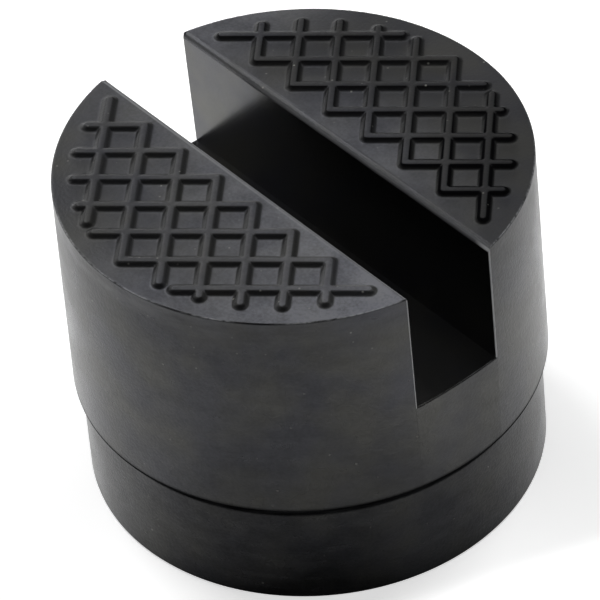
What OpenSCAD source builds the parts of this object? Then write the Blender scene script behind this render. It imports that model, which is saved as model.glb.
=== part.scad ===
// Rubber jack pad: one moulded block with a slot across the top and a ribbed tread.
// The origin is the middle of the flat underside. +Z points up, the slot runs along X.
// Sizes are in millimetres.

/* [Body] */
// Diameter of the top face
top_d = 65; // [60:0.5:80]
// Full height, from the underside to the smooth part of the top face
body_h = 51; // [46:0.5:60]
// How far the upper part widens from the top face down to the step, on each side
draft_out = 0.8; // [0.2:0.1:1.5]
// Height of the chamfer round the rim of the top face
rim_edge = 0.4; // [0.2:0.05:0.8]

/* [Foot] */
// Height of the narrower foot below the step
foot_h = 17.5; // [12:0.5:22]
// How far the step stands out past the foot, on each side
step_out = 0.9; // [0.5:0.1:2.5]
// How far the foot narrows from the step to the underside, on each side
foot_draft = 0.1; // [0:0.05:0.4]
// Chamfer round the edge of the underside
foot_edge = 0.4; // [0.2:0.05:0.8]

/* [Slot] */
// Width of the slot that takes the seam of the car sill
slot_w = 13.8; // [8:0.2:15]
// Depth of the slot below the top face
slot_depth = 19.2; // [12:0.2:24]
// How far the slot lies off the middle, towards the front half of the pad
slot_shift = 0.4; // [0:0.1:0.6]
// Chamfer along the two top edges of the slot
slot_edge = 0.5; // [0.2:0.05:0.8]
// Fillet along the two inner corners of the slot floor
slot_corner = 0.3; // [0.1:0.1:1]

/* [Tread] */
// Smooth band between the slot and the corners of the ribs beside it, to their middle
slot_band = 3; // [2.8:0.1:4]
// Width of a rib at its root
rib_w = 2.36; // [1.6:0.02:2.8]
// Width of the flat crest of a rib
rib_crest = 0.92; // [0.5:0.02:1.4]
// Height of a rib above the smooth part of the top face
rib_h = 0.5; // [0.2:0.05:0.9]
// Smooth band left between the rounded rib ends and the rim
rib_margin = 2.1; // [1.6:0.1:3]

/* [Look] */
// Colour of the rubber
rubber = "#26282b"; // ["#26282b":black, "#5b5e61":grey, "#7a2f22":brick red]

/* [Hidden] */
top_r = top_d / 2;
step_r = top_r + draft_out;
foot_r = step_r - step_out;
foot_low_r = foot_r - foot_draft;
slot_floor = body_h - slot_depth;
// Each half of the top face has this many ribs leaning either way, at 45 degrees
rib_count = 7;
// Distance from the middle of the pad to the row of rib corners beside the slot
rib_row = slot_w / 2 + slot_band;
// Circle on which the end centres of the ribs lie
rib_end_r = top_r - rib_margin - rib_w / 2;
// Distance between neighbouring corners, so that the outermost pair of ribs meets in the middle
rib_pitch = (rib_end_r - rib_row) / (rib_count / 2 - 1);
// How far the ribs and the cuts run past the faces that they meet
bite = 0.6;
$fn = 144;

// How far along X a rib runs from the row of corners to the end circle
function rib_run(x) = (-(x + rib_row) + sqrt(2 * rib_end_r * rib_end_r - (x - rib_row) * (x - rib_row))) / 2;

// Outline of the block in half section
module block() {
  rotate_extrude()
    polygon([
      [0, 0],
      [foot_low_r - foot_edge, 0],
      [foot_low_r, foot_edge],
      [foot_r, foot_h],
      [step_r, foot_h],
      [top_r, body_h - rim_edge],
      [top_r - rim_edge, body_h],
      [0, body_h]
    ]);
}

// Cross-section of the slot, with chamfered top edges and filleted floor corners
module slot_section() {
  half = slot_w / 2;
  polygon([
    [-half + slot_corner, slot_floor],
    [half - slot_corner, slot_floor],
    [half, slot_floor + slot_corner],
    [half, body_h - slot_edge],
    [half + slot_edge, body_h],
    [half + slot_edge, body_h + bite],
    [-half - slot_edge, body_h + bite],
    [-half - slot_edge, body_h],
    [-half, body_h - slot_edge],
    [-half, slot_floor + slot_corner]
  ]);
}

module slot() {
  translate([-step_r - bite, -slot_shift, 0])
    rotate([90, 0, 90])
      linear_extrude(2 * (step_r + bite))
        slot_section();
}

// Half of the cross-section of a rib, from its middle outwards
module rib_half() {
  polygon([
    [0, -bite],
    [rib_w / 2, -bite],
    [rib_w / 2, 0],
    [rib_crest / 2, rib_h],
    [0, rib_h]
  ]);
}

// Straight length of a rib along X, starting at the origin
module rib_bar(long) {
  rotate([90, 0, 90])
    linear_extrude(long) {
      polygon([
        [-rib_w / 2, -bite],
        [rib_w / 2, -bite],
        [rib_w / 2, 0],
        [rib_crest / 2, rib_h],
        [-rib_crest / 2, rib_h],
        [-rib_w / 2, 0]
      ]);
    }
}

// Rounded end of a rib
module rib_end() {
  rotate_extrude($fn = 24)
    rib_half();
}

// One rib: it starts at a corner beside the slot and runs outwards at 45 degrees
module rib(x) {
  run = rib_run(x);
  translate([x, rib_row, body_h]) {
    rib_end();
    rotate([0, 0, 45])
      rib_bar(run * sqrt(2));
    translate([run, run, 0])
      rib_end();
  }
}

// The ribs that lean to the right on the rear half of the top face
module ribs_one_way() {
  for (i = [0 : rib_count - 1])
    rib((i - rib_count / 2) * rib_pitch);
}

module ribs_of_half() {
  ribs_one_way();
  mirror([1, 0, 0])
    ribs_one_way();
}

module tread() {
  ribs_of_half();
  mirror([0, 1, 0])
    ribs_of_half();
}

module pad() {
  color(rubber)
    union() {
      difference() {
        block();
        slot();
      }
      tread();
    }
}

pad();
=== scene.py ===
# A black moulded rubber jack pad on a white sweep, seen from above its front right side.
import math

import bmesh
import bpy
from mathutils import Matrix, Vector, geometry, noise


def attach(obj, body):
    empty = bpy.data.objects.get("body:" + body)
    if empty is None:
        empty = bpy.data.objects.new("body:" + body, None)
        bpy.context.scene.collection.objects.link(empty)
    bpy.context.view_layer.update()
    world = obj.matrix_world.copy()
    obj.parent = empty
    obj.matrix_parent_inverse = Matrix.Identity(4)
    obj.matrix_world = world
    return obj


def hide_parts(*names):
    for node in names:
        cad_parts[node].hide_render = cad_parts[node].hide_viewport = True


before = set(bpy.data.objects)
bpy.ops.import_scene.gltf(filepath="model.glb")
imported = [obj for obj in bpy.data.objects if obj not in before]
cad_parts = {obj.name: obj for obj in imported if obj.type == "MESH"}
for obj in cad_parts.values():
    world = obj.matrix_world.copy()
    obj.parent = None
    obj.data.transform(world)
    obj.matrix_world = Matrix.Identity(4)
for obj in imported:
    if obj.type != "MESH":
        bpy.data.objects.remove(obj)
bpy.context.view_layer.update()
scene = bpy.context.scene
mm = 0.001


def linear(code):
    channels = [int(code[i:i + 2], 16) / 255 for i in (1, 3, 5)]
    return tuple(c / 12.92 if c <= 0.04045 else ((c + 0.055) / 1.055) ** 2.4 for c in channels) + (1.0,)


# Adds a node. An input is a plain value, a socket, or a node whose first output is meant.
def addNode(tree, kind, inputs=None, **settings):
    node = tree.nodes.new(kind)
    for name, value in settings.items():
        setattr(node, name, value)
    for name, value in (inputs or {}).items():
        if isinstance(value, bpy.types.Node):
            value = value.outputs[0]
        if isinstance(value, bpy.types.NodeSocket):
            tree.links.new(value, node.inputs[name])
        else:
            node.inputs[name].default_value = value
    return node


def ease(value, low, high):
    share = min(1.0, max(0.0, (value - low) / (high - low)))
    return share * share * (3 - 2 * share)


# Sizes of the pad in millimetres: those of the CAD source, with the foot as the photograph shows it.
pad = {
    "topRadius": 32.5,
    "stepRadius": 33.3,
    "footRadius": 32.25,
    "footLowRadius": 32.55,
    "height": 51.0,
    "footHeight": 17.5,
    "stepLow": 17.25,       # the lower edge of the step hangs down a little
    "slotRear": 6.5,        # rear wall of the slot, measured from the middle
    "slotFront": 7.3,       # front wall of the slot
    "slotFloor": 31.8,
    "slotSag": 0.45,        # the ends of the slot floor are drawn in, so their edges are nearly straight
    "arcParts": 420,        # straight parts along the rim of each half
    "endParts": 40,         # straight parts across each end of the slot
    "edgeParts": 4,         # straight parts across a rounded edge
    "creaseAngle": 38,      # edges sharper than this stay crisp in the shading, in degrees
    "skin": 0.3,            # what lies less than this below the top belongs to the top face
    "skinFade": 0.4,
}

# Wear and warp at the left end of the slot, in millimetres.
leftEnd = {
    "startX": -25.0,        # what lies left of this belongs to it
    "lean": 1.0,            # the rear wall of the slot is this much shorter at the foot of its end
    "leanRise": (-7.0, 6.5),    # the lean grows from the first Y to the second
    "leanFall": (6.6, 14.0),    # and fades out over these
    "wornRear": 0.33,       # worn off the tip of the rear half
    "wornFront": 0.6,
    "slantRear": 0.46,      # how far the worn face turns towards the slot
    "slantFront": 0.8,
    "wornReach": 4.0,       # the tip is looked at this far in
    "wornSoft": 0.08,       # rounding of the worn face
}

# Roundings of the edges in millimetres.
rounding = {
    "rim": 0.25,
    "slotTop": 0.6,
    "slotTopRear": 0.9,
    "slotEnd": 0.25,
    "step": 0.2,
    "foot": 0.45,
}

# The raised criss-cross ribs, in millimetres.
tread = {
    "row": 9.9,             # from the middle to the corners beside the slot
    "pitch": 7.728,         # between neighbouring corners
    "count": 7,             # ribs leaning either way on each half
    "endRadius": 29.22,     # circle on which the end centres lie
    "foot": 1.18,           # half width at the root
    "crest": 0.34,          # half width of the flat crest
    "height": 0.5,
    "eased": 0.65,          # share of the flank that is eased at its foot and its crest
    "cells": 24,            # mesh cells from one rib to the next
    "margin": 0.12,         # kept clear of mesh points beside the rounded edges
}


# One closed ring round the block, with a vertex at each corner of the slot.
def ringPoints(radius, z):
    rear = math.asin(pad["slotRear"] / radius)
    front = math.asin(pad["slotFront"] / radius)
    spans = (
        (rear, math.pi - rear, pad["arcParts"]),
        (math.pi - rear, math.pi + front, pad["endParts"]),
        (math.pi + front, 2 * math.pi - front, pad["arcParts"]),
        (2 * math.pi - front, 2 * math.pi + rear, pad["endParts"]),
    )
    points = []
    for first, last, parts in spans:
        for i in range(parts):
            a = first + (last - first) * i / parts
            points.append(Vector((radius * math.cos(a), radius * math.sin(a), z)))
    return points


def radiusAt(z):
    share = (pad["height"] - z) / (pad["height"] - pad["footHeight"])
    return pad["topRadius"] + (pad["stepRadius"] - pad["topRadius"]) * share


# The corners of the slot floor: its ends are drawn in, and the left one leans.
def floorPoints():
    middle = (pad["slotRear"] - pad["slotFront"]) / 2
    half = (pad["slotRear"] + pad["slotFront"]) / 2
    points = ringPoints(radiusAt(pad["slotFloor"]), pad["slotFloor"])
    for co in points:
        share = 1 - min(1.0, abs(co.y - middle) / half) ** 2
        co.x -= math.copysign(pad["slotSag"] * share, co.x)
        if co.x < leftEnd["startX"]:
            leaning = ease(co.y, *leftEnd["leanRise"]) * (1 - ease(co.y, *leftEnd["leanFall"]))
            co.x += leftEnd["lean"] * leaning
    return points


# The block with sharp edges; the edges to be rounded carry their share of the widest rounding.
def blockMesh():
    bm = bmesh.new()
    weight = bm.edges.layers.float.new("bevel_weight_edge")
    arc, end = pad["arcParts"], pad["endParts"]
    total = 2 * (arc + end)
    widest = max(rounding.values())

    def weigh(a, b, name):
        edge = bm.edges.get((a, b))
        edge[weight] = rounding[name] / widest

    rings = []
    for points in (
        floorPoints(),
        ringPoints(pad["stepRadius"], pad["stepLow"]),
        ringPoints(pad["footRadius"], pad["stepLow"]),
        ringPoints(pad["footLowRadius"], 0),
    ):
        rings.append([bm.verts.new(p) for p in points])
    floorRing, stepRing, footRing, lowRing = rings
    for upper, lower in zip(rings, rings[1:]):
        for i in range(total):
            j = (i + 1) % total
            bm.faces.new((upper[i], lower[i], lower[j], upper[j]))
    bm.faces.new(list(reversed(lowRing)))
    halves = []
    topPoints = ringPoints(pad["topRadius"], pad["height"])
    for start in (0, arc + end):
        top = [bm.verts.new(topPoints[start + i]) for i in range(arc + 1)]
        low = floorRing[start:start + arc + 1]
        for i in range(arc):
            bm.faces.new((top[i], low[i], low[i + 1], top[i + 1]))
        bm.faces.new(top)
        bm.faces.new((top[-1], low[-1], low[0], top[0]))
        halves.append((top, low))
    rearLow, frontLow = halves[0][1], halves[1][1]
    leftSide = floorRing[arc:arc + end + 1]
    rightSide = floorRing[2 * arc + end:] + [floorRing[0]]
    bm.faces.new([rearLow[0], rearLow[-1]] + leftSide[1:-1] + [frontLow[0], frontLow[-1]] + rightSide[1:-1])
    for top, low in halves:
        for i in range(arc):
            weigh(top[i], top[i + 1], "rim")
        weigh(top[0], top[-1], "slotTopRear" if top[0].co.y > 0 else "slotTop")
        weigh(top[0], low[0], "slotEnd")
        weigh(top[-1], low[-1], "slotEnd")
    for line in (leftSide, rightSide):
        for i in range(end):
            weigh(line[i], line[i + 1], "slotEnd")
    for i in range(total):
        weigh(stepRing[i], stepRing[(i + 1) % total], "step")
        weigh(lowRing[i], lowRing[(i + 1) % total], "foot")
    bmesh.ops.recalc_face_normals(bm, faces=bm.faces[:])
    mesh = bpy.data.meshes.new("blockSharp")
    bm.to_mesh(mesh)
    bm.free()
    return mesh


# The middle lines of the ribs: each starts beside the slot and runs outwards at 45 degrees.
def ribLines():
    lines = []
    row, reach = tread["row"], tread["endRadius"]
    for i in range(tread["count"]):
        x = (i - tread["count"] / 2) * tread["pitch"]
        run = (-(x + row) + math.sqrt(2 * reach * reach - (x - row) ** 2)) / 2
        for sideX in (1, -1):
            for sideY in (1, -1):
                lines.append((x * sideX, row * sideY, (x + run) * sideX, (row + run) * sideY))
    return lines


ribs = ribLines()


# Height of the tread at a point, from its distance to the nearest rib.
def ribHeight(x, y):
    nearest = math.inf
    for ax, ay, bx, by in ribs:
        dx, dy = bx - ax, by - ay
        t = min(1.0, max(0.0, ((x - ax) * dx + (y - ay) * dy) / (dx * dx + dy * dy)))
        nearest = min(nearest, math.hypot(x - ax - t * dx, y - ay - t * dy))
    if nearest >= tread["foot"]:
        return 0.0
    share = min(1.0, (tread["foot"] - nearest) / (tread["foot"] - tread["crest"]))
    return tread["height"] * ((1 - tread["eased"]) * share + tread["eased"] * ease(share, 0, 1))


# Wears the tips at the left end blunt, mostly near the top.
def bluntTip(co):
    rear = co.y > 0
    edge = pad["slotRear"] if rear else -pad["slotFront"]
    tip = Vector((-math.sqrt(pad["topRadius"] ** 2 - edge ** 2), edge))
    outward = Vector((-1.0, -leftEnd["slantRear"] if rear else leftEnd["slantFront"])).normalized()
    reach = (co.xy - tip).dot(outward)
    if co.x > leftEnd["startX"] or reach < -leftEnd["wornReach"] or co.z < pad["slotFloor"]:
        return
    worn, soft = leftEnd["wornRear" if rear else "wornFront"], leftEnd["wornSoft"]
    limited = -worn - soft * math.log(1 + math.exp(min(60.0, -(reach + worn) / soft)))
    move = (limited - reach) * ease(co.z, pad["slotFloor"], pad["height"] - 1)
    # the long faces along the slot stay flat, so their corners only move along them
    if abs(co.y) < abs(edge) + rounding["slotTopRear"] + 0.01:
        co.x += move / outward.x
    else:
        co.x += move * outward.x
        co.y += move * outward.y


# Fills one half of the top face with a fine mesh that follows the ribs.
def fillTop(bm, face):
    outline = list(face.verts)
    bm.faces.remove(face)
    step = tread["pitch"] / math.sqrt(2) / tread["cells"]
    half = math.sqrt(0.5)
    side = 1 if outline[0].co.y > 0 else -1
    edge = pad["slotRear"] if side > 0 else pad["slotFront"]
    keepY = edge + rounding["slotTopRear" if side > 0 else "slotTop"] + tread["margin"]
    keepRadius = pad["topRadius"] - rounding["rim"] - tread["margin"]
    # the mesh lines run along the ribs, through the corner on the middle line
    cornerX = tread["pitch"] / 2
    offsetU = (cornerX - side * tread["row"]) * half
    offsetV = (cornerX + side * tread["row"]) * half
    count = int(math.sqrt(2) * pad["topRadius"] / step)
    points = [v.co.xy.copy() for v in outline]
    for i in range(-count, count + 1):
        for j in range(-count, count + 1):
            u, v = offsetU + i * step, offsetV + j * step
            x, y = (u + v) * half, (v - u) * half
            if side * y > keepY and math.hypot(x, y) < keepRadius:
                points.append(Vector((x, y)))
    border = len(outline)
    edges = [(i, (i + 1) % border) for i in range(border)]
    made = geometry.delaunay_2d_cdt(points, edges, [], 1, 1e-5)
    verts = []
    for spot, origin in zip(made[0], made[3]):
        old = [i for i in origin if i < border]
        if old:
            verts.append(outline[old[0]])
        else:
            verts.append(bm.verts.new((spot.x, spot.y, pad["height"] + ribHeight(spot.x, spot.y))))
    for corners in made[2]:
        bm.faces.new([verts[c] for c in corners])


# The thin flash that the mould leaves along the edges, whose pale colour is also painted highlight on the
# rounded edges, and the painted highlight on the upright edges at the right end of the slot; in millimetres.
flashAndHighlight = {
    "stand": 0.07,          # how far it stands out at most
    "ragged": 0.35,         # length of its teeth
    "patch": 6.0,           # length of its thicker and thinner stretches
    "rimAngle": 50,         # where it stands on the rounded rim, in degrees from the wall
    "slotAngles": (45, 90), # along the slot it is doubled
    "rearAngles": (12, 36, 60),
    "spread": 15,           # its width on the rounded edge, in degrees
    "rearRim": 0.8,         # its share along the rim of the rear half
    "rearEnds": 0.35,       # along the rear edge of the slot, towards the ends
    "rearMiddle": 0.75,     # and how much more in the middle
    "rearBulge": (6.0, 12.0),   # X of that middle, and its half width
    "angleRange": (5, 80),  # below the first it is left off, above the second it lies in the top face
    "patchMix": (0.6, 1.1), # middle and swing of the thicker and thinner stretches
    "raggedMix": (0.6, 0.9),
    "shown": 2.2,           # how much sooner its colour shows than its shape; the pale colour is partly painted highlight
    "upright": 1.0,         # painted highlight: a pale line on the upright edges at the right end of the slot
    "uprightHighlightX": (29.0, 31.0),
    "uprightHighlightAside": (0.02, 0.06, 0.2, 0.3),     # from the wall of the slot: where it begins and ends
}


# How far a point lies round a rounded edge, in degrees from the wall, or None away from the edge.
def edgeAngle(across, up, radius):
    if across < -0.001 or up < -0.001:
        return None
    reach = math.hypot(across, up)
    if reach < radius * 0.8 or reach > radius * 1.2:
        return None
    return math.degrees(math.atan2(up, across))


# Pushes fine lines of the rounded edges out into a thin ragged flash, and returns the share of its pale
# colour, which is partly painted highlight.
def raiseFlash(co):
    side = 1 if co.y > 0 else -1
    edge = pad["slotRear"] if side > 0 else pad["slotFront"]
    radial = math.hypot(co.x, co.y)
    outward = Vector((co.x / radial, co.y / radial, 0))
    r = rounding["rim"]
    here = 1.0 if side < 0 else flashAndHighlight["rearRim"]
    angles = (flashAndHighlight["rimAngle"],)
    t = edgeAngle(radial - (pad["topRadius"] - r), co.z - (pad["height"] - r), r)
    if t is None:
        r = rounding["slotTopRear" if side > 0 else "slotTop"]
        angles = flashAndHighlight["rearAngles" if side > 0 else "slotAngles"]
        outward = Vector((0, -side, 0))
        if side > 0:
            middle, width = flashAndHighlight["rearBulge"]
            here = flashAndHighlight["rearEnds"] + flashAndHighlight["rearMiddle"] * math.exp(-((co.x - middle) / width) ** 2)
        t = edgeAngle(edge + r - abs(co.y), co.z - (pad["height"] - r), r)
    least, most = flashAndHighlight["angleRange"]
    if t is None or t < least:
        return 0.0
    patch = flashAndHighlight["patchMix"][0] + flashAndHighlight["patchMix"][1] * noise.noise(co / flashAndHighlight["patch"])
    ragged = flashAndHighlight["raggedMix"][0] + flashAndHighlight["raggedMix"][1] * noise.noise(co / flashAndHighlight["ragged"])
    share = min(1.0, sum(math.exp(-((t - a) / flashAndHighlight["spread"]) ** 2) for a in angles))
    amount = share * here * max(0.0, patch) * max(0.0, ragged)
    a = math.radians(t)
    if t < most:
        co += (outward * math.cos(a) + Vector((0, 0, math.sin(a)))) * flashAndHighlight["stand"] * min(1.0, amount)
    return min(1.0, flashAndHighlight["shown"] * amount)


# Painted light on the top face: a pale grey layer laid where the top catches more light, as shares; places in
# millimetres.
paintedLight = {
    "front": 0.31,
    "frontAlong": 0.31 / 30,    # more towards the right end, per millimetre
    "frontAcross": 0.25 / 12,   # more towards the slot, per millimetre from Y
    "frontY": -20.0,
    "frontRim": 0.28,       # more near the rim, right of the left end
    "rimRadius": (24.0, 31.0),
    "rimX": (-18.0, 8.0),
    "rearMiddle": 0.5,      # on the rear half it lies beside the middle of the slot
    "rearSpot": (5.0, 8.0, 17.0, 8.0),  # X and Y of its centre, and its half width either way
    "rearEnd": 0.5,         # and at the left end
    "rearEndX": (14.0, 30.0),
    "leftOffCrests": 0.5,          # share of it that is left off the crests of the ribs
}


def riseAt(co):
    return max(0.0, co.z - pad["height"]) / tread["height"]


def paintedLightAt(co):
    if co.z < pad["height"] - pad["skin"]:
        return 0.0
    if co.y < 0:
        share = paintedLight["front"] + paintedLight["frontAlong"] * co.x + paintedLight["frontAcross"] * (co.y - paintedLight["frontY"])
        share += paintedLight["frontRim"] * ease(co.xy.length, *paintedLight["rimRadius"]) * ease(co.x, *paintedLight["rimX"])
    else:
        x, y, wide, deep = paintedLight["rearSpot"]
        share = paintedLight["rearMiddle"] * math.exp(-((co.x - x) / wide) ** 2 - ((co.y - y) / deep) ** 2)
        share += paintedLight["rearEnd"] * ease(-co.x, *paintedLight["rearEndX"])
    return max(0.0, share) * (1 - paintedLight["leftOffCrests"] * riseAt(co))


# The walls and the floor of the slot: smoother than the rest, and painted blacker as painted shade in the
# slot.
def slotAt(co):
    edge = pad["slotRear"] if co.y > 0 else pad["slotFront"]
    inside = abs(co.y) < edge + 0.03 and pad["slotFloor"] - 0.05 < co.z < pad["height"] - pad["skin"]
    return 1.0 if inside else 0.0


# The skin of the top face, as against the walls.
def topAt(co):
    return ease(co.z, pad["height"] - pad["skinFade"], pad["height"])


# Painted sheen and shade: where the sheen is painted stronger or duller; places in millimetres.
paintedSheen = {
    "cornerIn": 1.0,        # painted highlight: the wall beside the near corner of the front half is brighter
    "cornerAcross": 2.0,
    "cornerSize": 11.0,
    "top": 0.12,            # painted sheen: the top face shines a little more
    "rearDull": 0.45,       # painted shade: the right end of the rear half is duller
    "rearDullX": (4.0, 22.0),
    "crestRear": 0.9,       # and so are the crests of the ribs
    "crestFront": 0.35,
}


def paintedSheenAt(co):
    corner = Vector((pad["stepRadius"] - paintedSheen["cornerIn"], -pad["slotFront"] - paintedSheen["cornerAcross"], co.z))
    share = math.exp(-((co - corner).length / paintedSheen["cornerSize"]) ** 2) + paintedSheen["top"] * topAt(co)
    share -= paintedSheen["crestRear" if co.y > 0 else "crestFront"] * riseAt(co)
    if co.y > 0 and co.z > pad["height"] - pad["skin"]:
        share -= paintedSheen["rearDull"] * ease(co.x, *paintedSheen["rearDullX"])
    return share


# What each vertex carries for the material. The flash comes last, because it moves the vertex.
shares = {
    "slotShare": slotAt,
    "paintedSheenShare": paintedSheenAt,
    "topShare": topAt,
    "paintedLightShare": paintedLightAt,
    "flashAndHighlightShare": raiseFlash,
}


def padMesh():
    sharp = bpy.data.objects.new("blockSharp", blockMesh())
    scene.collection.objects.link(sharp)
    bevel = sharp.modifiers.new("rounding", "BEVEL")
    bevel.limit_method = "WEIGHT"
    bevel.width = max(rounding.values())
    bevel.segments = pad["edgeParts"]
    bevel.use_clamp_overlap = False
    graph = bpy.context.evaluated_depsgraph_get()
    mesh = bpy.data.meshes.new_from_object(sharp.evaluated_get(graph))
    bpy.data.objects.remove(sharp)
    bm = bmesh.new()
    bm.from_mesh(mesh)
    for v in bm.verts:
        bluntTip(v.co)
    tops = [f for f in bm.faces if f.normal.z > 0.99 and f.calc_center_median().z > pad["height"] - 0.01]
    for face in tops:
        fillTop(bm, face)
    bmesh.ops.recalc_face_normals(bm, faces=bm.faces[:])
    layers = [bm.verts.layers.float.new(name) for name in shares]
    for v in bm.verts:
        for layer, shareAt in zip(layers, shares.values()):
            v[layer] = shareAt(v.co)
    bmesh.ops.scale(bm, vec=(mm, mm, mm), verts=bm.verts[:])
    for f in bm.faces:
        f.smooth = True
    bm.to_mesh(mesh)
    bm.free()
    mesh.set_sharp_from_angle(angle=math.radians(pad["creaseAngle"]))
    mesh.name = "padRubber"
    return mesh


# Black moulded rubber: nearly no colour of its own, a clear sheen from the polished mould on the walls, a
# duller top. Painted light and shade: a pale grey layer lightens the top where it catches more light, the
# sheen is painted stronger or weaker in places, and the slot and the crease under the step are painted
# darker. Heights and places are in millimetres.
rubber = {
    "base": "#0a0a0b",
    "slot": "#020202",      # painted shade: the walls and the floor of the slot are painted blacker
    # painted light: the pale grey laid on the top face where it catches more light
    "paintedLight": "#5b5c62",
    "flashAndHighlight": "#77787a",
    "scuff": "#7c7d80",
    "upright": "#b4b5b6",   # painted highlight: a pale line on the upright edges at the right end of the slot
    "dust": "#a09f98",
    "coolSheen": "#f1f3ff",
    "warmSheen": "#fffef6",
    "clouds": {             # width and height of the blotches, and their detail
        "patches": (8.333, 8.333, 3),
        "smudges": (2.381, 2.381, 3),
        "grains": (0.4545, 0.4545, 2),  # finer in real rubber, drawn as coarse as it needs to show
        "streaks": (6.25, 1.613, 5),
    },
    "cloudRange": (0.36, 0.64),     # what of the noise is spread from none to full
    "flatFrom": 0.93,       # how level the flat parts of the top face are at least, 1 being level
    "speckCell": 1.613,     # room of one speck of dust, which is up to two tenths across
    "speckEdge": (0.02, 0.13),      # its soft edge, as shares of that room
    "speckPick": (0.75, 1.2),       # few cells hold one that shows, more of them in the smudges
    "speckClumps": 0.3,
    "speckMost": 0.6,
    "paintedLightUneven": {"patches": 0.4, "smudges": 0.35, "grains": 0.35},
    "paintedLightLeast": 0.45,
    "shineUneven": {"patches": 0.09, "smudges": 0.08, "grains": 0.09},
    "shine": 0.42,          # specular level, 0.5 being that of clean rubber
    "paintedShadeFoot": -0.2,      # painted shade: less sheen below the step
    "paintedShadeFlank": -0.26,    # painted shade: less sheen on the sloped flanks of the ribs
    "shineVertex": 0.22,    # weight of the painted sheen and shade that the vertices carry
    "slotBed": 0.12,        # painted sheen: the floor of the slot is given more sheen than its walls
    "slotLeft": 0.5,        # painted reflection: the left end of the slot is given more sheen than its middle
    "slotRight": -0.15,
    "slotX": (-28.0, 0.0),
    "scuffFaint": 0.07,     # in the streaks, all round the wall
    "scuffRim": (0.25, 0.75),   # under the rim: everywhere, and in the streaks
    "scuffZ": (46.8, 50.8), # heights over which the scuffs under the rim grow
    "scuffWay": (-0.6, -0.8, 0.0),  # towards the scuffed left side
    "scuffLeft": (8.0, 30.0),
    "scuffRight": 0.15,     # what is left of them on the right
    "creaseShadeBelow": (15.5, 15.9),    # painted shade: the dark line under the step begins over these heights
    "creaseShadeAbove": (17.6, 18.1),    # and ends over these
    "rough": 0.2,
    "roughTop": 0.24,       # more on the top face, which is duller
    "roughPatches": 0.08,
    "grainDepth": 0.04,
    "grainStrength": 0.3,
    "ior": 1.5,
}


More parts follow.
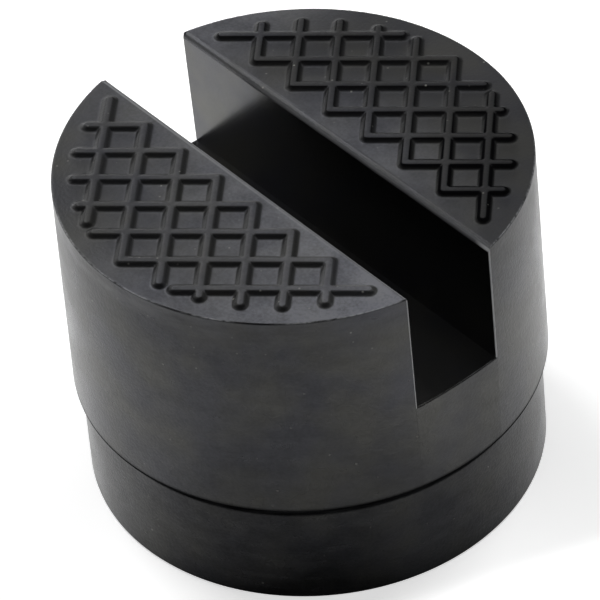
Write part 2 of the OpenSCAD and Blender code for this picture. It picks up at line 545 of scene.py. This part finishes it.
def rubberMaterial():
    material = bpy.data.materials.new("mouldedRubber")
    material.use_nodes = True
    tree = material.node_tree
    tree.nodes.clear()
    place = addNode(tree, "ShaderNodeTexCoord").outputs["Object"]
    along, across, high = addNode(tree, "ShaderNodeSeparateXYZ", {0: place}).outputs
    normal = addNode(tree, "ShaderNodeNewGeometry").outputs["Normal"]
    upward = addNode(tree, "ShaderNodeSeparateXYZ", {0: normal}).outputs["Z"]
    leftward = addNode(
        tree, "ShaderNodeVectorMath", {0: place, 1: rubber["scuffWay"]}, operation="DOT_PRODUCT",
    )
    carried = {}
    for name in shares:
        carried[name] = addNode(tree, "ShaderNodeAttribute", attribute_name=name).outputs["Fac"]
    top, slot = carried["topShare"], carried["slotShare"]
    wall = addNode(tree, "ShaderNodeMath", {0: 1.0, 1: top}, operation="SUBTRACT")
    outside = addNode(tree, "ShaderNodeMath", {0: 1.0, 1: slot}, operation="SUBTRACT")

    # how far a point lies aside from the middle plane of the slot
    middle = (pad["slotRear"] - pad["slotFront"]) / 2
    half = (pad["slotRear"] + pad["slotFront"]) / 2
    aside = addNode(tree, "ShaderNodeMath", {0: across, 1: middle * mm}, operation="SUBTRACT")
    aside = addNode(tree, "ShaderNodeMath", {0: aside}, operation="ABSOLUTE")

    # each share goes from its first to its last value between two places, in millimetres
    lineAt = flashAndHighlight["uprightHighlightAside"]
    ramps = {
        "onFoot": (high, pad["stepLow"] - 0.03, pad["stepLow"] - 0.01, 1.0, 0.0),
        "overSlotFloor": (high, pad["slotFloor"] - 0.01, pad["slotFloor"] + 0.01, 0.0, 1.0),
        "slotBed": (high, pad["slotFloor"] + 0.01, pad["slotFloor"] + 0.03, rubber["slotBed"], 0.0),
        "slotPaintedReflection": (along, *rubber["slotX"], rubber["slotLeft"], rubber["slotRight"]),
        "creaseShadeBelow": (high, *rubber["creaseShadeBelow"], 0.0, 1.0),
        "creaseShadeAbove": (high, *rubber["creaseShadeAbove"], 1.0, 0.0),
        "underRim": (high, *rubber["scuffZ"], 0.0, 1.0),
        "onLeft": (leftward.outputs["Value"], *rubber["scuffLeft"], rubber["scuffRight"], 1.0),
        "uprightHighlightFrom": (aside, half + lineAt[0], half + lineAt[1], 0.0, 1.0),
        "uprightHighlightTo": (aside, half + lineAt[2], half + lineAt[3], 1.0, 0.0),
        "uprightHighlightEnd": (along, *flashAndHighlight["uprightHighlightX"], 0.0, 1.0),
    }
    mask = {}
    for name, (value, start, stop, first, last) in ramps.items():
        mask[name] = addNode(tree, "ShaderNodeMapRange", {
            "Value": value, "From Min": start * mm, "From Max": stop * mm, "To Min": first, "To Max": last,
        })
    flat = addNode(tree, "ShaderNodeMapRange", {"Value": upward, "From Min": rubber["flatFrom"]})

    clouds = {}
    for name, (wide, tall, detail) in rubber["clouds"].items():
        scale = (1 / (wide * mm), 1 / (wide * mm), 1 / (tall * mm))
        stretched = addNode(tree, "ShaderNodeMapping", {"Vector": place, "Scale": scale})
        blotches = addNode(tree, "ShaderNodeTexNoise", {"Vector": stretched, "Scale": 1.0, "Detail": detail})
        clouds[name] = addNode(tree, "ShaderNodeMapRange", {
            "Value": blotches, "From Min": rubber["cloudRange"][0], "From Max": rubber["cloudRange"][1],
        })

    # the painted light lies on the flats and not on the flanks of the ribs
    paintedLightMask = rubber["paintedLightLeast"]
    for name, weight in rubber["paintedLightUneven"].items():
        paintedLightMask = addNode(
            tree, "ShaderNodeMath", {0: clouds[name], 1: weight, 2: paintedLightMask}, operation="MULTIPLY_ADD",
        )
    for factor in (carried["paintedLightShare"], flat):
        paintedLightMask = addNode(tree, "ShaderNodeMath", {0: paintedLightMask, 1: factor}, operation="MULTIPLY")

    # scuffs in short streaks round the wall, heaviest just under the rim on the left
    everywhere, inStreaks = rubber["scuffRim"]
    streaks = clouds["streaks"]
    scuff = addNode(
        tree, "ShaderNodeMath", {0: streaks, 1: inStreaks, 2: everywhere}, operation="MULTIPLY_ADD",
    )
    for factor in (mask["underRim"], mask["onLeft"]):
        scuff = addNode(tree, "ShaderNodeMath", {0: scuff, 1: factor}, operation="MULTIPLY")
    scuff = addNode(
        tree, "ShaderNodeMath", {0: streaks, 1: rubber["scuffFaint"], 2: scuff}, operation="MULTIPLY_ADD",
    )
    for factor in (wall, outside):
        scuff = addNode(tree, "ShaderNodeMath", {0: scuff, 1: factor}, operation="MULTIPLY")

    # painted highlight: a pale line down the upright edges at the right end of the slot
    upright = flashAndHighlight["upright"]
    for factor in (mask["uprightHighlightFrom"], mask["uprightHighlightTo"], mask["uprightHighlightEnd"], mask["overSlotFloor"], wall):
        upright = addNode(tree, "ShaderNodeMath", {0: upright, 1: factor}, operation="MULTIPLY")

    # pale specks of dust in loose clusters
    scale = 1 / (rubber["speckCell"] * mm)
    cells = addNode(tree, "ShaderNodeTexVoronoi", {"Vector": place, "Scale": scale}).outputs
    pick = addNode(tree, "ShaderNodeSeparateColor", {"Color": cells["Color"]})
    pick = addNode(tree, "ShaderNodeMath", {
        0: clouds["smudges"], 1: rubber["speckClumps"], 2: pick,
    }, operation="MULTIPLY_ADD")
    inner, outer = rubber["speckEdge"]
    dust = addNode(tree, "ShaderNodeMapRange", {
        "Value": cells["Distance"], "From Min": inner, "From Max": outer, "To Min": 1.0, "To Max": 0.0,
    })
    few, many = rubber["speckPick"]
    picked = addNode(tree, "ShaderNodeMapRange", {
        "Value": pick, "From Min": few, "From Max": many, "To Max": rubber["speckMost"],
    })
    for factor in (picked, outside):
        dust = addNode(tree, "ShaderNodeMath", {0: dust, 1: factor}, operation="MULTIPLY")

    # painted shade: the slot is mixed in painted blacker than the rest
    colour = linear(rubber["base"])
    for share, name in (
        (slot, "slot"), (paintedLightMask, "paintedLight"), (carried["flashAndHighlightShare"], "flashAndHighlight"),
        (scuff, "scuff"), (upright, "upright"), (dust, "dust"),
    ):
        colour = addNode(
            tree, "ShaderNodeMix", {0: share, 6: colour, 7: linear(rubber[name])}, data_type="RGBA",
        ).outputs[2]

    # the sheen: weaker on the foot and on the flanks of the ribs as painted shade, and gone in the crease at
    # the step as a painted shadow line
    uneven = 0.0
    for name, weight in rubber["shineUneven"].items():
        uneven = addNode(
            tree, "ShaderNodeMath", {0: clouds[name], 1: weight, 2: uneven}, operation="MULTIPLY_ADD",
        )
    flank = addNode(tree, "ShaderNodeMath", {0: 1.0, 1: flat}, operation="SUBTRACT")
    flank = addNode(tree, "ShaderNodeMath", {0: flank, 1: top}, operation="MULTIPLY")
    # painted reflection and sheen in the slot: more at its left end and on its floor
    inSlot = addNode(
        tree, "ShaderNodeMath", {0: mask["slotPaintedReflection"], 1: mask["slotBed"]}, operation="ADD",
    )
    shine = rubber["shine"]
    for share, weight in (
        (wall, uneven), (mask["onFoot"], rubber["paintedShadeFoot"]), (flank, rubber["paintedShadeFlank"]),
        (carried["paintedSheenShare"], rubber["shineVertex"]), (slot, inSlot),
    ):
        shine = addNode(tree, "ShaderNodeMath", {0: share, 1: weight, 2: shine}, operation="MULTIPLY_ADD")
    shine = addNode(tree, "ShaderNodeMath", {0: shine, 1: 0.0}, operation="MAXIMUM")
    # painted shade: the sheen is taken away in a band just under the step
    creaseShade = addNode(
        tree, "ShaderNodeMath", {0: mask["creaseShadeBelow"], 1: mask["creaseShadeAbove"]}, operation="MULTIPLY",
    )
    clear = addNode(tree, "ShaderNodeMath", {0: 1.0, 1: creaseShade}, operation="SUBTRACT")
    shine = addNode(tree, "ShaderNodeMath", {0: shine, 1: clear}, operation="MULTIPLY")
    tint = addNode(tree, "ShaderNodeMix", {
        0: clouds["patches"], 6: linear(rubber["coolSheen"]), 7: linear(rubber["warmSheen"]),
    }, data_type="RGBA")

    rough = addNode(tree, "ShaderNodeMath", {0: clouds["patches"], 1: outside}, operation="MULTIPLY")
    rough = addNode(tree, "ShaderNodeMath", {
        0: rough, 1: rubber["roughPatches"], 2: rubber["rough"],
    }, operation="MULTIPLY_ADD")
    rough = addNode(tree, "ShaderNodeMath", {
        0: top, 1: rubber["roughTop"], 2: rough,
    }, operation="MULTIPLY_ADD")
    strength = addNode(tree, "ShaderNodeMath", {0: outside, 1: rubber["grainStrength"]}, operation="MULTIPLY")
    bump = addNode(tree, "ShaderNodeBump", {
        "Distance": rubber["grainDepth"] * mm, "Height": clouds["grains"], "Strength": strength,
    })
    surface = addNode(tree, "ShaderNodeBsdfPrincipled", {
        "IOR": rubber["ior"], "Base Color": colour, "Roughness": rough, "Specular IOR Level": shine,
        "Specular Tint": tint.outputs[2], "Normal": bump,
    })
    addNode(tree, "ShaderNodeOutputMaterial", {"Surface": surface})
    return material


print("pad")
piece = bpy.data.objects.new("padRubber", padMesh())
scene.collection.objects.link(piece)
piece.data.materials.clear()
piece.data.materials.append(rubberMaterial())
piece.modifiers.new("evenShading", "WEIGHTED_NORMAL").keep_sharp = True
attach(piece, "root")
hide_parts("pad")

# The camera looks at half the height of the pad: angles in degrees, the rest in millimetres.
view = {
    "azimuth": 53.472,
    "elevation": 42.344,
    "roll": -5.489,
    "distance": 526.7,
    "right": -0.78,
    "up": -0.131,
    "lens": 228.44,
    "sensor": 36.0,
}

# Light of the studio. The lamps stand behind the pad, so its shadow falls forwards and to the right.
studio = {
    "paper": "#f2f2f2",
    "paperHalf": 3.0,       # half the width of the sweep, in metres
    "lift": 0.5,            # what clears the seen floor to white
    "mirroredLift": 0.34,   # the same for the floor as the rubber mirrors it
    "shadeLift": 0.15,      # what the deep shade in front of the pad gets besides, as the camera sees it
    "frontLift": 0.5,       # the same for the paper in front of the shade
    "frontAzimuth": 70,
    "frontReach": (34, 42), # millimetres in front of the middle over which it grows
    "shadeMiddle": 45,      # as the rubber mirrors it, the lift fades out round a spot in the shade
    "shadeReach": (24, 52),
    "room": 0.06,
    "sky": (0.0, 0.28),     # mirrored, the backdrop is white at the horizon and dim higher up
    "lamps": (
        # name, azimuth, elevation, distance, width, height, power
        ("leftBack", 275, 50, 1.2, 0.55, 0.55, 7.5),
        ("rightBack", 185, 50, 1.2, 0.55, 0.55, 5.0),
        ("above", 240, 76, 1.2, 0.5, 0.5, 1.6),
        ("lowBack", 255, 9, 1.2, 1.3, 0.2, 5.0),
    ),
}


# Unit vector towards a place round the pad: azimuth 0 is the front, 90 the right.
def toward(azimuth, elevation=0.0):
    a, e = math.radians(azimuth), math.radians(elevation)
    return Vector((math.sin(a) * math.cos(e), -math.cos(a) * math.cos(e), math.sin(e)))


# White paper: the part that the camera sees gets a little light of its own, so that it clears to white.
def paperMaterial():
    material = bpy.data.materials.new("whitePaper")
    material.use_nodes = True
    tree = material.node_tree
    tree.nodes.clear()
    rays = addNode(tree, "ShaderNodeLightPath").outputs
    place = addNode(tree, "ShaderNodeTexCoord").outputs["Object"]
    shade = toward(view["azimuth"]) * studio["shadeMiddle"] * mm
    away = addNode(tree, "ShaderNodeVectorMath", {0: place, 1: shade}, operation="DISTANCE")
    ahead = addNode(
        tree, "ShaderNodeVectorMath", {0: place, 1: toward(studio["frontAzimuth"])}, operation="DOT_PRODUCT",
    )
    spread = []
    for measure, (start, stop) in ((away, studio["shadeReach"]), (ahead, studio["frontReach"])):
        spread.append(addNode(tree, "ShaderNodeMapRange", {
            "Value": measure.outputs["Value"], "From Min": start * mm, "From Max": stop * mm,
        }, interpolation_type="SMOOTHSTEP"))
    clear, front = spread
    mirrored = addNode(tree, "ShaderNodeMath", {
        0: rays["Is Glossy Ray"], 1: rays["Is Transmission Ray"],
    }, operation="MAXIMUM")
    for factor in (clear, studio["mirroredLift"]):
        mirrored = addNode(tree, "ShaderNodeMath", {0: mirrored, 1: factor}, operation="MULTIPLY")
    inShade = addNode(tree, "ShaderNodeMath", {0: 1.0, 1: clear}, operation="SUBTRACT")
    lift = studio["lift"]
    for share, weight in ((inShade, studio["shadeLift"]), (front, studio["frontLift"])):
        lift = addNode(tree, "ShaderNodeMath", {0: share, 1: weight, 2: lift}, operation="MULTIPLY_ADD")
    lift = addNode(
        tree, "ShaderNodeMath", {0: lift, 1: rays["Is Camera Ray"], 2: mirrored}, operation="MULTIPLY_ADD",
    )
    paper = addNode(tree, "ShaderNodeBsdfDiffuse", {"Color": linear(studio["paper"])})
    glow = addNode(tree, "ShaderNodeEmission", {"Color": (1, 1, 1, 1), "Strength": lift})
    both = addNode(tree, "ShaderNodeAddShader", {0: paper, 1: glow})
    addNode(tree, "ShaderNodeOutputMaterial", {"Surface": both})
    return material


print("floor")
floorMesh = bpy.data.meshes.new("sweep")
reach = studio["paperHalf"]
corners = [(-reach, -reach, 0), (reach, -reach, 0), (reach, reach, 0), (-reach, reach, 0)]
floorMesh.from_pydata(corners, [], [(0, 1, 2, 3)])
floor = bpy.data.objects.new("sweep", floorMesh)
scene.collection.objects.link(floor)
floorMesh.materials.append(paperMaterial())

print("light")
world = bpy.data.worlds.new("studio")
scene.world = world
world.use_nodes = True
sky = world.node_tree
sky.nodes.clear()
rays = addNode(sky, "ShaderNodeLightPath").outputs
skyward = addNode(sky, "ShaderNodeTexCoord").outputs["Generated"]
skyHigh = addNode(sky, "ShaderNodeSeparateXYZ", {0: skyward}).outputs["Z"]
dimmed = addNode(sky, "ShaderNodeMapRange", {
    "Value": skyHigh, "From Min": studio["sky"][0], "From Max": studio["sky"][1],
    "To Min": 1.0, "To Max": studio["room"],
}, interpolation_type="SMOOTHSTEP")
direct = addNode(sky, "ShaderNodeMath", {
    0: rays["Is Camera Ray"], 1: rays["Is Transmission Ray"],
}, operation="MAXIMUM")
room = addNode(sky, "ShaderNodeBackground", {"Color": (1, 1, 1, 1), "Strength": studio["room"]})
mirrored = addNode(sky, "ShaderNodeBackground", {"Color": (1, 1, 1, 1), "Strength": dimmed})
seen = addNode(sky, "ShaderNodeBackground", {"Color": (1, 1, 1, 1), "Strength": 1.0})
pick = addNode(sky, "ShaderNodeMixShader", {0: rays["Is Glossy Ray"], 1: room, 2: mirrored})
pick = addNode(sky, "ShaderNodeMixShader", {0: direct, 1: pick, 2: seen})
addNode(sky, "ShaderNodeOutputWorld", {"Surface": pick})


def softbox(name, azimuth, elevation, distance, wide, tall, power):
    light = bpy.data.lights.new(name, "AREA")
    light.shape = "RECTANGLE"
    light.size = wide
    light.size_y = tall
    light.energy = power
    lamp = bpy.data.objects.new(name, light)
    lamp.location = toward(azimuth, elevation) * distance
    lamp.rotation_euler = lamp.location.to_track_quat("Z", "Y").to_euler()
    scene.collection.objects.link(lamp)


for lamp in studio["lamps"]:
    softbox(*lamp)

print("camera")
back = toward(view["azimuth"], view["elevation"])
level = toward(view["azimuth"] + 90)
upright = back.cross(level)
roll = math.radians(view["roll"])
right = math.cos(roll) * level + math.sin(roll) * upright
up = -math.sin(roll) * level + math.cos(roll) * upright
spot = Vector((0, 0, pad["height"] / 2)) + back * view["distance"] + right * view["right"] + up * view["up"]
camera = bpy.data.objects.new("camera", bpy.data.cameras.new("camera"))
camera.matrix_world = Matrix((
    (right.x, up.x, back.x, spot.x * mm),
    (right.y, up.y, back.y, spot.y * mm),
    (right.z, up.z, back.z, spot.z * mm),
    (0, 0, 0, 1),
))
camera.data.lens = view["lens"]
camera.data.sensor_width = view["sensor"]
camera.data.clip_end = 20
scene.collection.objects.link(camera)
scene.camera = camera
scene.view_settings.view_transform = "Standard"

print("finish")
bpy.context.view_layer.update()
